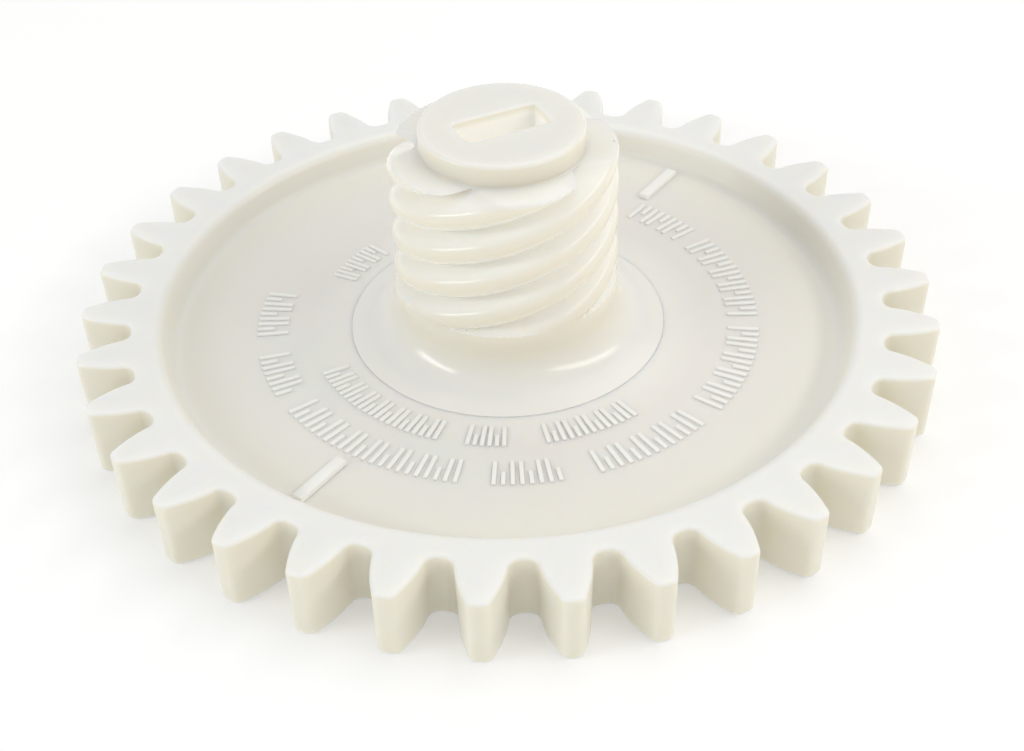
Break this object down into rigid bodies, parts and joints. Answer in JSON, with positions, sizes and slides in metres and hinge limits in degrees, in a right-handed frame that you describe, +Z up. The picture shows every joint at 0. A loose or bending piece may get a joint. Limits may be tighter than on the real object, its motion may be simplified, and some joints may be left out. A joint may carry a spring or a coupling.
{
  "type": "compound worm and spur gear",
  "caption": "Spur wheel carrying a multi-start worm with a slotted plain end, turning on a plain bearing sleeve in its blind bore.",
  "frame": {"origin": "on the gear's axis, at the underside of the toothed rim that it stands on", "axes": "+Z up along the gear's axis, towards the slotted end; one spur tooth's centre is 1 degree from +X"},
  "size_m": [0.072, 0.0718, 0.0228],
  "materials": {
    "wheel_nylon": "natural white moulded nylon, satin, slightly translucent",
    "spindle_nylon": "natural moulded nylon, satin to gloss, slightly translucent, warmer than the wheel",
    "spring_steel": "phosphated spring steel",
    "bearing_bronze": "turned bronze, satin",
    "washer_steel": "ground steel"
  },
  "bodies": {
    "gear": {"spur_wheel": "wheel_nylon", "worm_spindle": "spindle_nylon", "spindle_clip": "spring_steel", "bore_retaining_ring": "spring_steel"},
    "sleeve": {"bearing_sleeve": "bearing_bronze", "thrust_washer": "washer_steel"}
  },
  "joints": [
    {"name": "gear_spin", "type": "hinge", "parent": "gear", "child": "sleeve", "pos_m": [0, 0, 0.009], "axis": [0, 0, 1], "continuous": true}
  ]
}
